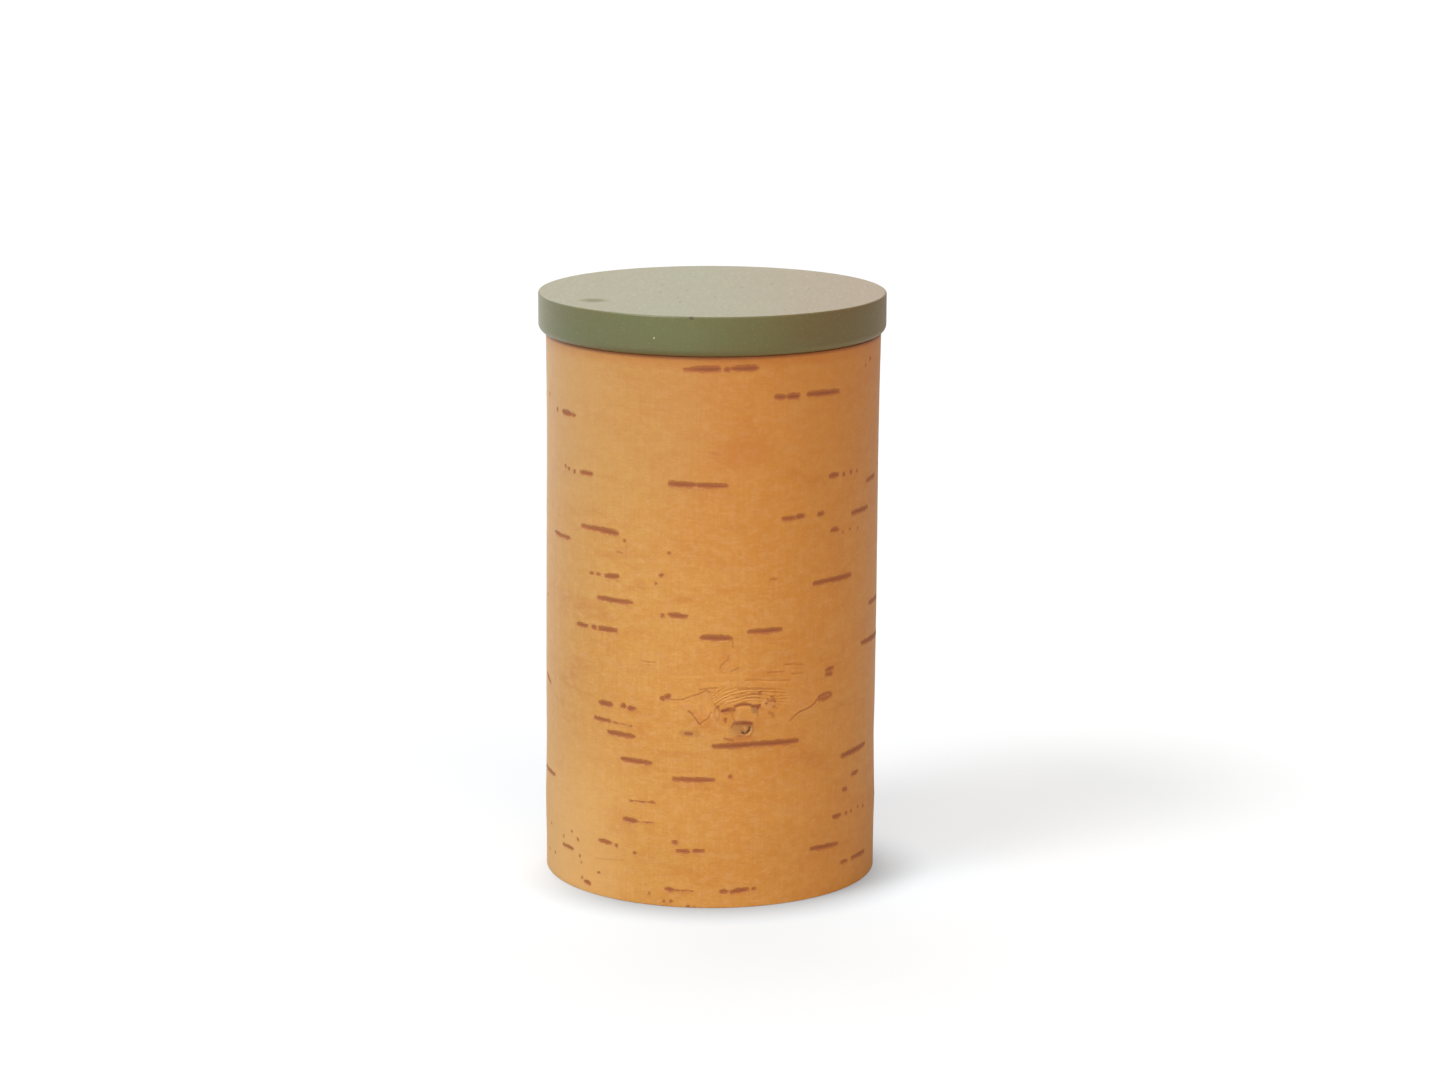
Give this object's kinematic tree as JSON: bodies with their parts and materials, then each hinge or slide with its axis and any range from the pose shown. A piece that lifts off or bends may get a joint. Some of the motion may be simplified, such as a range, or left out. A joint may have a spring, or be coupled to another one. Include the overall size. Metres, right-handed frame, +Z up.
{
  "type": "tea caddy",
  "caption": "Cylindrical birch-bark tea caddy with a double bark wall, a wooden base and a painted wooden lid on a plug that lifts off.",
  "frame": {"origin": "centre of the caddy's foot, on the surface that it stands on", "axes": "+Z up along the caddy's axis, -Y the front with the knot, +Y the back with the jacket's seam"},
  "size_m": [0.105, 0.105, 0.1785],
  "materials": {
    "bark_golden": "smooth golden inner face of birch bark, satin, with dark lenticels",
    "bark_inner": "smooth tan inner face of birch bark, matt",
    "base_wood": "sanded bare softwood with visible growth rings",
    "lid_paint": "satin sage-green paint over close-grained wood",
    "plug_wood": "sanded bare pale hardwood"
  },
  "bodies": {
    "caddy": {"bark_jacket": "bark_golden", "bark_sleeve": "bark_inner", "base_disc": "base_wood"},
    "lid": {"lid_disc": "lid_paint", "lid_plug": "plug_wood"}
  },
  "joints": [
    {"name": "lid_lift", "type": "slide", "parent": "caddy", "child": "lid", "axis": [0, 0, 1], "range_m": [0, 0.12]}
  ]
}
